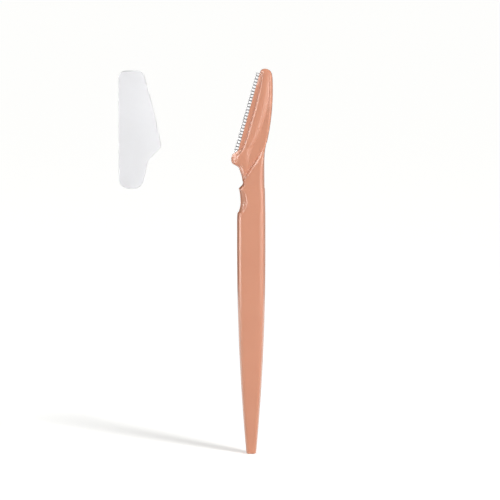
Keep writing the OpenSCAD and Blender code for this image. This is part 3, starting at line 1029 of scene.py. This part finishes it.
@dataclass(frozen=True)
class Cap:
    """The frosted sheath, open along its slanted side, at the notch and under half its lobe."""

    length: float = 46.8
    width: float = 16.4
    top_w: float = 9.6
    lobe_w: float = 9.2
    corner_z: float = 16.5
    corner_out: float = 1 / 3
    notch_x: float = 11.7
    notch_z: float = 11.2
    bow: float = 0.8
    top_r: float = 3.0
    lobe_r: float = 4.1
    corner_r: float = 1.6
    notch_r: float = 2.0
    side_r: float = 33.0
    wall: float = 0.8
    space_half: float = 2.45
    rim_r: float = 0.6
    rest_x: float = -52.75
    rest_z: float = 107.2
    overrun: float = 1.0
    corner_steps: int = 12
    rim_steps: int = 6
    lips: Rounding = Rounding(width=0.12, steps=2, from_deg=60.0)
    sharp_deg: float = 35.0

    def outline(self) -> list[Corner]:
        """Draws the outline.

        Returns:
            Its corners, from the lower left and clockwise.
        """
        return [
            Corner(0.0, 0.0, self.lobe_r),
            Corner(0.0, self.length, self.top_r),
            Corner(self.top_w, self.length, self.top_r),
            Corner((self.width + self.top_w) / 2 + self.bow, (self.length + self.corner_z) / 2,
                   self.side_r),
            Corner(self.width + self.corner_out * self.corner_r, self.corner_z, self.corner_r),
            Corner(self.notch_x, self.notch_z, self.notch_r),
            Corner(self.lobe_w, 0.0, self.lobe_r),
        ]

    def space(self) -> list[Corner]:
        """Draws the space inside, which runs out past the open sides.

        Returns:
            Its corners, from the lower left and clockwise.
        """
        right = self.width + 2 * self.overrun
        foot = (self.lobe_w + 2 * self.wall) / 2
        small = self.wall / 2
        return [
            Corner(self.wall, self.wall, self.lobe_r - self.wall),
            Corner(self.wall, self.length - self.wall, self.top_r - self.wall),
            Corner(right, self.length - self.wall, small),
            Corner(right, -self.overrun, small),
            Corner(foot, -self.overrun, small),
            Corner(foot, self.wall, small),
        ]

    def rounded(self, corners: list[Corner], inset: float) -> Points:
        """Rounds an outline and draws it in by an inset.

        Args:
            corners: The corners, clockwise.
            inset: How far the outline draws in.

        Returns:
            Rows of x and z.
        """
        rows = []
        for i, corner in enumerate(corners):
            at = corner.spot()
            to_p = corners[i - 1].spot() - at
            to_n = corners[(i + 1) % len(corners)].spot() - at
            to_p, to_n = to_p / np.linalg.norm(to_p), to_n / np.linalg.norm(to_n)
            half = math.acos(float(to_p @ to_n)) / 2
            middle = (to_p + to_n) / np.linalg.norm(to_p + to_n)
            centre = at + middle * corner.radius / math.sin(half)
            first = at + to_p * corner.radius / math.tan(half) - centre
            end = at + to_n * corner.radius / math.tan(half) - centre
            start = math.atan2(first[1], first[0])
            turn = (math.atan2(end[1], end[0]) - start + 3 * math.pi) % (2 * math.pi) - math.pi
            radius = corner.radius + (-inset if turn < 0 else inset)
            for k in range(self.corner_steps + 1):
                at_turn = start + turn * k / self.corner_steps
                rows.append(centre + radius * np.array([math.cos(at_turn), math.sin(at_turn)]))
        return np.array(rows)

    def place(self, flat: Points, y: float) -> Points:
        """Returns rows of x and z at a level, moved to where the cap lies."""
        return np.column_stack([flat[:, 0] + self.rest_x, np.full(len(flat), y),
                                flat[:, 1] + self.rest_z])

    def shell(self) -> bpy.types.Object:
        """Builds the outer skin, with its rounded rims.

        Returns:
            The skin's object.
        """
        half = self.space_half + self.wall
        rims = []
        for i in range(self.rim_steps + 1):
            turn = math.pi / 2 * i / self.rim_steps
            rims.append((self.rim_r * (1 - math.sin(turn)),
                         half - self.rim_r * (1 - math.cos(turn))))
        levels = [(inset, -y) for inset, y in rims] + [(inset, y) for inset, y in rims[::-1]]
        rings = [self.place(self.rounded(self.outline(), inset), y) for inset, y in levels]
        middle = np.array([[self.lobe_w - self.lobe_r / 2, self.corner_z]])
        ends = [self.place(middle, -half)[0], self.place(middle, half)[0]]
        return add_object("sheath", *skin(rings, ends))

    def cutter(self) -> bpy.types.Object:
        """Builds the solid that hollows the sheath.

        Returns:
            The solid's object.
        """
        flat = self.rounded(self.space(), 0.0)
        rows = np.concatenate([self.place(flat, -self.space_half),
                               self.place(flat, self.space_half)])
        return add_object("sheath_space", rows, prism_faces(len(flat)))

    def build(self) -> bpy.types.Object:
        """Builds and dresses the sheath, which stands for the CAD's cap.

        Returns:
            The piece.
        """
        obj = self.shell()
        space = self.cutter()
        cut = obj.modifiers.new("hollow", "BOOLEAN")
        cut.operation = "DIFFERENCE"
        cut.solver = "EXACT"
        cut.object = space
        apply_modifiers(obj)
        bpy.data.objects.remove(space)
        self.lips.apply(obj)
        dress(obj, FROSTED, self.sharp_deg)
        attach(obj, Body.CAP.value)
        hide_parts("cap")
        return obj


# Shader nodes and the effects that finishes share


class Wiring:
    """Adds nodes to a node tree and joins them."""

    def __init__(self, tree: bpy.types.NodeTree) -> None:
        """Takes the tree to work in."""
        self.tree = tree

    def feed(self, node: bpy.types.Node, inputs: dict[str | int, Any]) -> None:
        """Joins sockets to a node's inputs, or sets their values.

        Args:
            node: The node.
            inputs: For each input, the socket that feeds it or its value.
        """
        for key, value in inputs.items():
            if isinstance(value, bpy.types.NodeSocket):
                self.tree.links.new(value, node.inputs[key])
            else:
                node.inputs[key].default_value = value

    def add(self, kind: str, inputs: dict[str | int, Any] | None = None,
            **settings: Any) -> bpy.types.Node:
        """Adds a node.

        Args:
            kind: The node's type name.
            inputs: For each input, the socket that feeds it or its value.
            settings: Properties of the node to set.

        Returns:
            The node.
        """
        node = self.tree.nodes.new(kind)
        for key, value in settings.items():
            setattr(node, key, value)
        self.feed(node, inputs or {})
        return node

    def step(self, source: bpy.types.NodeSocket, low: Any, high: Any, to_low: Any = 0.0,
             to_high: Any = 1.0) -> bpy.types.NodeSocket:
        """Adds a smooth step of a value.

        Args:
            source: The value.
            low: Where the step starts, as a value or a socket.
            high: Where it ends.
            to_low: The result at its start.
            to_high: The result at its end.

        Returns:
            The result's socket.
        """
        node = self.add("ShaderNodeMapRange", {
            "Value": source, "From Min": low, "From Max": high, "To Min": to_low,
            "To Max": to_high}, interpolation_type="SMOOTHSTEP")
        return node.outputs["Result"]

    def mix(self, share: bpy.types.NodeSocket, first: Any, second: Any) -> bpy.types.NodeSocket:
        """Adds a mix of two colours.

        Args:
            share: Share of the second colour.
            first: The first colour, as a value or a socket.
            second: The second colour.

        Returns:
            The colour's socket.
        """
        node = self.add("ShaderNodeMix", data_type="RGBA")
        self.feed(node, {"Factor": share, "A": first, "B": second})
        return node.outputs["Result"]

    def bump(self, height: bpy.types.NodeSocket, depth: float) -> bpy.types.NodeSocket:
        """Adds a bump.

        Args:
            height: The height from 0 to 1.
            depth: Depth of the bump in millimetres.

        Returns:
            The normal's socket.
        """
        node = self.add("ShaderNodeBump", {"Strength": 1.0, "Distance": depth * MM,
                                           "Height": height})
        return node.outputs["Normal"]


class Kind(Enum):
    """Kinds of group sockets."""

    NUMBER = "NodeSocketFloat"
    COLOUR = "NodeSocketColor"
    VECTOR = "NodeSocketVector"


class GroupMaker:
    """Makes a shader node group with named inputs and outputs."""

    def __init__(self, name: str) -> None:
        """Starts the group.

        Args:
            name: The group's name.
        """
        self.tree = bpy.data.node_groups.new(name, "ShaderNodeTree")
        self.wiring = Wiring(self.tree)
        self.start = self.wiring.add("NodeGroupInput")
        self.end = self.wiring.add("NodeGroupOutput")

    def takes(self, name: str, kind: Kind) -> bpy.types.NodeSocket:
        """Adds an input and returns its socket inside the group."""
        self.tree.interface.new_socket(name, in_out="INPUT", socket_type=kind.value)
        return self.start.outputs[name]

    def gives(self, name: str, kind: Kind, source: bpy.types.NodeSocket) -> None:
        """Adds an output that hands out a socket."""
        self.tree.interface.new_socket(name, in_out="OUTPUT", socket_type=kind.value)
        self.wiring.feed(self.end, {name: source})


def mould_grain_group() -> bpy.types.NodeTree:
    """Makes the fine texture of a mould: height, and gloss that varies in soft patches.

    Returns:
        The group.
    """
    group = GroupMaker("mould_grain")
    scale = group.takes("Grain Scale", Kind.NUMBER)
    gloss = group.takes("Gloss", Kind.NUMBER)
    haze = group.takes("Haze", Kind.NUMBER)
    w = group.wiring
    place = w.add("ShaderNodeTexCoord").outputs["Object"]
    fine = w.add("ShaderNodeTexNoise", {"Vector": place, "Scale": scale, "Detail": 3.0})
    patch = w.add("ShaderNodeTexNoise", {"Vector": place, "Scale": 900.0, "Detail": 4.0})
    group.gives("Height", Kind.NUMBER, fine.outputs["Fac"])
    group.gives("Roughness", Kind.NUMBER,
                w.step(patch.outputs["Fac"], low=0.3, high=0.7, to_low=gloss, to_high=haze))
    return group.tree


def tone_drift_group() -> bpy.types.NodeTree:
    """Makes a slow drift between two tones, with a trace of finer mottling.

    Returns:
        The group.
    """
    group = GroupMaker("tone_drift")
    tone = group.takes("Tone", Kind.COLOUR)
    other = group.takes("Other Tone", Kind.COLOUR)
    scale = group.takes("Drift Scale", Kind.NUMBER)
    w = group.wiring
    drift = w.add("ShaderNodeTexNoise", {
        "Vector": w.add("ShaderNodeTexCoord").outputs["Object"], "Scale": scale, "Detail": 5.0,
        "Roughness": 0.55})
    share = w.step(drift.outputs["Fac"], low=0.25, high=0.75)
    group.gives("Tone", Kind.COLOUR, w.mix(share, tone, other))
    return group.tree


def edge_highlight_group() -> bpy.types.NodeTree:
    """Makes a mask that is 1 along sharp, outward edges, where a painted highlight lightens the
    colour.

    Returns:
        The group.
    """
    group = GroupMaker("edge_highlight")
    start = group.takes("Start", Kind.NUMBER)
    end = group.takes("End", Kind.NUMBER)
    w = group.wiring
    shape = w.add("ShaderNodeNewGeometry")
    group.gives("Mask", Kind.NUMBER, w.step(shape.outputs["Pointiness"], start, end))
    return group.tree


def drawn_lines_group() -> bpy.types.NodeTree:
    """Makes the fine lines that grinding and rolling leave along a strip.

    Returns:
        The group.
    """
    group = GroupMaker("drawn_lines")
    tilt = group.takes("Tilt", Kind.VECTOR)
    stretch = group.takes("Stretch", Kind.VECTOR)
    bright = group.takes("Bright", Kind.COLOUR)
    dull = group.takes("Dull", Kind.COLOUR)
    gloss = group.takes("Gloss", Kind.NUMBER)
    haze = group.takes("Haze", Kind.NUMBER)
    w = group.wiring
    place = w.add("ShaderNodeTexCoord").outputs["Object"]
    turn = w.add("ShaderNodeVectorRotate", rotation_type="EULER_XYZ")
    w.feed(turn, {"Vector": place, "Rotation": tilt})
    scaled = w.add("ShaderNodeVectorMath", {0: turn.outputs["Vector"], 1: stretch},
                   operation="MULTIPLY")
    lines = w.add("ShaderNodeTexNoise", {
        "Vector": scaled.outputs["Vector"], "Scale": 1.0, "Detail": 4.0})
    share = w.step(lines.outputs["Fac"], low=0.3, high=0.7)
    rough = w.add("ShaderNodeMapRange", {"Value": share, "To Min": gloss, "To Max": haze})
    group.gives("Tone", Kind.COLOUR, w.mix(share, bright, dull))
    group.gives("Roughness", Kind.NUMBER, rough.outputs["Result"])
    group.gives("Height", Kind.NUMBER, lines.outputs["Fac"])
    return group.tree


class Effects:
    """The shared node groups, each made when a finish first asks for it."""

    MAKERS = {
        "mould_grain": mould_grain_group,
        "tone_drift": tone_drift_group,
        "edge_highlight": edge_highlight_group,
        "drawn_lines": drawn_lines_group,
    }

    @classmethod
    def place(cls, w: Wiring, name: str, **values: Any) -> bpy.types.Node:
        """Places a group in a material.

        Args:
            w: Wiring of the material.
            name: Name of the group.
            values: Values of its inputs, with _ for a space.

        Returns:
            The group's node.
        """
        tree = bpy.data.node_groups.get(name) or cls.MAKERS[name]()
        inputs = {key.replace("_", " "): value for key, value in values.items()}
        return w.add("ShaderNodeGroup", inputs, node_tree=tree)


# Finishes


def start_material(name: str) -> tuple[bpy.types.Material, Wiring, bpy.types.Node]:
    """Starts a material.

    Args:
        name: Name of the material.

    Returns:
        The material, its wiring and its shader.
    """
    material = bpy.data.materials.new(name)
    material.use_nodes = True
    wiring = Wiring(material.node_tree)
    return material, wiring, material.node_tree.nodes["Principled BSDF"]


@dataclass(frozen=True)
class Finish:
    """A finish, whose material is made at its first use."""

    name: str

    def material(self) -> bpy.types.Material:
        """Gets the material, or makes it.

        Returns:
            The material.
        """
        known = bpy.data.materials.get(self.name)
        if known:
            return known
        material, w, shader = start_material(self.name)
        w.feed(shader, self.inputs(w))
        return material

    def inputs(self, w: Wiring) -> dict[str, Any]:
        """Returns what feeds the shader, which each kind of finish says."""
        raise NotImplementedError


@dataclass(frozen=True)
class MouldedPlastic(Finish):
    """Satin moulded plastic with a fine mould texture, and a painted highlight that lightens its
    sharp edges.
    """

    tone: Colour
    other_tone: Colour
    # Lighter colour of the painted highlight along sharp outward edges.
    edge_highlight_tone: Colour
    drift_scale: float
    highlight_start: float
    highlight_end: float
    gloss: float
    haze: float
    grain_scale: float
    grain_depth: float
    ior: float
    glow: float
    glow_radius: tuple[float, float, float]
    glow_reach: float

    def inputs(self, w: Wiring) -> dict[str, Any]:
        """Makes the nodes that feed the shader.

        Args:
            w: Wiring of the material.

        Returns:
            The shader's inputs, with the sockets or values for them.
        """
        drift = Effects.place(w, "tone_drift", Tone=self.tone, Other_Tone=self.other_tone,
                              Drift_Scale=self.drift_scale)
        highlight_mask = Effects.place(w, "edge_highlight", Start=self.highlight_start, End=self.highlight_end)
        grain = Effects.place(w, "mould_grain", Grain_Scale=self.grain_scale, Gloss=self.gloss,
                              Haze=self.haze)
        return {
            # Painted highlight: the colour lightens along sharp outward edges.
            "Base Color": w.mix(highlight_mask.outputs["Mask"], drift.outputs["Tone"], self.edge_highlight_tone),
            "Roughness": grain.outputs["Roughness"],
            "Normal": w.bump(grain.outputs["Height"], self.grain_depth),
            "IOR": self.ior,
            "Subsurface Weight": self.glow,
            "Subsurface Radius": self.glow_radius,
            "Subsurface Scale": self.glow_reach * MM,
        }


@dataclass(frozen=True)
class FrostedPlastic(Finish):
    """Translucent milky sheet with a soft matt face."""

    tone: Colour
    other_tone: Colour
    drift_scale: float
    gloss: float
    haze: float
    grain_scale: float
    grain_depth: float
    ior: float
    clearness: float

    def inputs(self, w: Wiring) -> dict[str, Any]:
        """Makes the nodes that feed the shader.

        Args:
            w: Wiring of the material.

        Returns:
            The shader's inputs, with the sockets or values for them.
        """
        drift = Effects.place(w, "tone_drift", Tone=self.tone, Other_Tone=self.other_tone,
                              Drift_Scale=self.drift_scale)
        grain = Effects.place(w, "mould_grain", Grain_Scale=self.grain_scale, Gloss=self.gloss,
                              Haze=self.haze)
        return {
            "Base Color": drift.outputs["Tone"],
            "Roughness": grain.outputs["Roughness"],
            "Normal": w.bump(grain.outputs["Height"], self.grain_depth),
            "IOR": self.ior,
            "Transmission Weight": self.clearness,
        }


@dataclass(frozen=True)
class StripMetal(Finish):
    """Metal strip with fine lines along the blade, bright for the blade and painted dark for the
    foil's dark reflections.
    """

    bright: Colour
    dull: Colour
    gloss: float
    haze: float
    line_depth: float
    lines_per_mm: float
    breaks_per_mm: float
    tilt: float = Jaw.tilt

    def inputs(self, w: Wiring) -> dict[str, Any]:
        """Makes the nodes that feed the shader.

        Args:
            w: Wiring of the material.

        Returns:
            The shader's inputs, with the sockets or values for them.
        """
        across = self.lines_per_mm / MM
        lines = Effects.place(w, "drawn_lines", Bright=self.bright, Dull=self.dull,
                              Gloss=self.gloss, Haze=self.haze,
                              Tilt=(0.0, -math.radians(self.tilt), 0.0),
                              Stretch=(across, across, self.breaks_per_mm / MM))
        return {
            "Base Color": lines.outputs["Tone"],
            "Roughness": lines.outputs["Roughness"],
            "Normal": w.bump(lines.outputs["Height"], self.line_depth),
            "Metallic": 1.0,
        }


# The edge tone is a painted highlight, a lighter colour along sharp outward edges.
CORAL = MouldedPlastic(
    name="coral_plastic", tone=(0.745, 0.325, 0.2, 1.0), other_tone=(0.72, 0.31, 0.19, 1.0),
    edge_highlight_tone=(0.8, 0.4, 0.27, 1.0), drift_scale=60.0, highlight_start=0.51, highlight_end=0.6,
    gloss=0.19, haze=0.25, grain_scale=2600.0, grain_depth=0.0035, ior=1.5, glow=0.08,
    glow_radius=(1.0, 0.45, 0.3), glow_reach=0.6)
BLADE_STEEL = StripMetal(
    name="ground_steel", bright=(0.92, 0.92, 0.93, 1.0), dull=(0.78, 0.78, 0.79, 1.0),
    gloss=0.18, haze=0.3, line_depth=0.002, lines_per_mm=14.0, breaks_per_mm=0.8)
# The foil's dark grey tones are a painted dark reflection, standing in for the dark that its
# curved bright bars reflect.
GUARD_FOIL = StripMetal(
    name="dark_painted_foil", bright=(0.3, 0.3, 0.3, 1.0), dull=(0.2, 0.2, 0.2, 1.0),
    gloss=0.16, haze=0.28, line_depth=0.001, lines_per_mm=9.0, breaks_per_mm=1.2)
FROSTED = FrostedPlastic(
    name="frosted_sheet", tone=(0.955, 0.955, 0.97, 1.0), other_tone=(0.935, 0.935, 0.95, 1.0),
    drift_scale=70.0, gloss=0.4, haze=0.52, grain_scale=3600.0, grain_depth=0.004, ior=1.49,
    clearness=0.6)


# Studio


def direction(azimuth: float, elevation: float) -> Vector:
    """Returns the direction from the razor to an azimuth, right of its front, and a height."""
    a, e = math.radians(azimuth), math.radians(elevation)
    return Vector((math.sin(a) * math.cos(e), -math.cos(a) * math.cos(e), math.sin(e)))


def aim(obj: bpy.types.Object, way: Vector) -> None:
    """Turns a camera, lamp or card to look along a direction."""
    obj.rotation_euler = way.to_track_quat("-Z", "Y").to_euler()


@dataclass(frozen=True)
class Placed:
    """A thing of the studio that stands off the razor and faces it: angles in degrees, metres."""

    name: str
    azimuth: float
    elevation: float
    distance: float
    width: float
    height: float

    def put(self, data: bpy.types.ID, target: Vector) -> bpy.types.Object:
        """Puts the thing at its place, unseen by the camera.

        Args:
            data: Its lamp or mesh.
            target: The point that it faces.

        Returns:
            Its object.
        """
        obj = link(self.name, data)
        obj.location = target + direction(self.azimuth, self.elevation) * self.distance
        aim(obj, target - obj.location)
        obj.visible_camera = False
        return obj


@dataclass(frozen=True)
class Lamp(Placed):
    """A rectangular soft lamp, or one that only reflections show."""

    power: float
    glint_only: bool = False

    def build(self, target: Vector) -> None:
        """Builds the lamp.

        Args:
            target: The point that it faces.
        """
        data = bpy.data.lights.new(self.name, "AREA")
        data.shape = "RECTANGLE"
        data.size, data.size_y = self.width, self.height
        data.energy = self.power
        obj = self.put(data, target)
        obj.visible_diffuse = not self.glint_only
        obj.visible_transmission = not self.glint_only


@dataclass(frozen=True)
class Card(Placed):
    """A dark or grey card behind the razor, which only reflections show."""

    tone: float

    def build(self, target: Vector) -> None:
        """Builds the card.

        Args:
            target: The point that it faces.
        """
        x, y = self.width / 2, self.height / 2
        mesh = bpy.data.meshes.new(self.name)
        mesh.from_pydata([(-x, -y, 0), (x, -y, 0), (x, y, 0), (-x, y, 0)], [], [(0, 1, 2, 3)])
        obj = self.put(mesh, target)
        material, w, shader = start_material(self.name)
        w.feed(shader, {"Base Color": (self.tone, self.tone, self.tone, 1.0), "Roughness": 1.0,
                        "Specular IOR Level": 0.0})
        mesh.materials.append(material)
        obj.visible_diffuse = False
        obj.visible_transmission = False
        obj.visible_shadow = False


@dataclass(frozen=True)
class Studio:
    """Pale floor, soft light and the camera, in metres and degrees."""

    middle: tuple[float, float, float] = (-0.0005, 0.0, 0.0024)
    floor_z: float = -TIP_DROP * MM
    floor_reach: float = 30.0
    floor_cells: int = 8
    floor_tone: Colour = (0.9, 0.9, 0.89, 1.0)
    floor_lift: float = 0.35
    white: Colour = (1.0, 1.0, 0.99, 1.0)
    fill: float = 0.38
    sun_power: float = 1.4
    sun_azimuth: float = 44.0
    sun_elevation: float = 48.0
    sun_size: float = 10.0
    camera_elevation: float = 6.0
    camera_distance: float = 1.111
    camera_reach: float = 100.0
    lens_mm: float = 200.0
    sensor_mm: float = 36.0

    # Name, azimuth, elevation, distance, width, height, power, and whether only glints show it.
    lamps: tuple[Lamp, ...] = (
        Lamp("right_box", 32.0, 8.0, 1.0, 0.6, 0.9, 2.6),
        Lamp("right_glint", 42.0, 2.0, 1.0, 0.5, 0.5, 4.0, True),
        Lamp("left_box", -46.0, -5.0, 0.4, 0.3, 0.09, 0.85, True),
        Lamp("left_high", -48.0, 24.0, 1.0, 0.5, 0.6, 7.5, True),
        Lamp("low_band", 18.0, -5.0, 0.45, 0.08, 0.07, 0.075, True),
        Lamp("left_fill", -103.0, 5.0, 1.0, 0.3, 0.7, 2.5),
        Lamp("left_strip", -100.0, 5.0, 1.0, 0.4, 0.9, 7.0, True),
    )
    # Name, azimuth, elevation, distance, width, height and tone.
    cards: tuple[Card, ...] = (
        Card("left_card", -150.0, 0.0, 0.5, 0.42, 1.2, 0.02),
        Card("right_card", 155.0, 0.0, 0.5, 0.4, 1.2, 0.5),
    )

    def camera(self) -> None:
        """Makes the camera at the photograph's angle."""
        data = bpy.data.cameras.new("camera")
        data.lens = self.lens_mm
        data.sensor_width = self.sensor_mm
        data.clip_end = self.camera_reach
        obj = link("camera", data)
        middle = Vector(self.middle)
        obj.location = middle + direction(0.0, self.camera_elevation) * self.camera_distance
        aim(obj, middle - obj.location)
        bpy.context.scene.camera = obj

    def seen_directly(self, w: Wiring) -> bpy.types.NodeSocket:
        """Makes a value that is 1 for camera, glossy and transmission rays.

        Args:
            w: Wiring of the world or the material.

        Returns:
            The value's socket.
        """
        path = w.add("ShaderNodeLightPath")
        seen = path.outputs["Is Camera Ray"]
        for kind in ("Is Glossy Ray", "Is Transmission Ray"):
            either = w.add("ShaderNodeMath", {0: seen, 1: path.outputs[kind]},
                           operation="MAXIMUM")
            seen = either.outputs[0]
        return seen

    def world(self) -> None:
        """Makes the world: white where it is seen, and an even fill for the rest."""
        world = bpy.data.worlds.new("studio_air")
        bpy.context.scene.world = world
        world.use_nodes = True
        w = Wiring(world.node_tree)
        strength = w.add("ShaderNodeMapRange", {
            "Value": self.seen_directly(w), "To Min": self.fill, "To Max": 1.0})
        w.feed(world.node_tree.nodes["Background"], {
            "Color": self.white, "Strength": strength.outputs["Result"]})

    def floor(self) -> None:
        """Makes the pale floor, which keeps the razor's shadow."""
        form = bmesh.new()
        bmesh.ops.create_grid(form, x_segments=self.floor_cells, y_segments=self.floor_cells,
                              size=self.floor_reach)
        mesh = bpy.data.meshes.new("floor")
        form.to_mesh(mesh)
        form.free()
        obj = link("floor", mesh)
        obj.location.z = self.floor_z
        material, w, shader = start_material("pale_floor")
        lift = w.add("ShaderNodeMath", {0: self.seen_directly(w), 1: self.floor_lift},
                     operation="MULTIPLY")
        w.feed(shader, {"Base Color": self.floor_tone, "Roughness": 1.0,
                        "Specular IOR Level": 0.0, "Emission Color": self.white,
                        "Emission Strength": lift.outputs[0]})
        mesh.materials.append(material)

    def lights(self) -> None:
        """Makes the key light, the soft lamps and the cards."""
        data = bpy.data.lights.new("key", "SUN")
        data.energy = self.sun_power
        data.angle = math.radians(self.sun_size)
        obj = link("key", data)
        aim(obj, -direction(self.sun_azimuth, self.sun_elevation))
        obj.visible_glossy = False
        for thing in self.lamps + self.cards:
            thing.build(Vector(self.middle))

    def build(self) -> None:
        """Makes the whole studio."""
        self.camera()
        self.world()
        self.floor()
        self.lights()
        bpy.context.scene.view_settings.view_transform = "Standard"


# Main


def main() -> None:
    """Builds every piece and the studio, and logs each piece."""
    logging.basicConfig(level=logging.INFO, format="%(name)s: %(message)s")
    for part in (Handle(), RearPlate(), Blade(), Guard(), Cap()):
        piece = part.build()
        LOG.info("%s: %d faces", piece.name, len(piece.data.polygons))
    Studio().build()


if __name__ == "__main__":
    main()
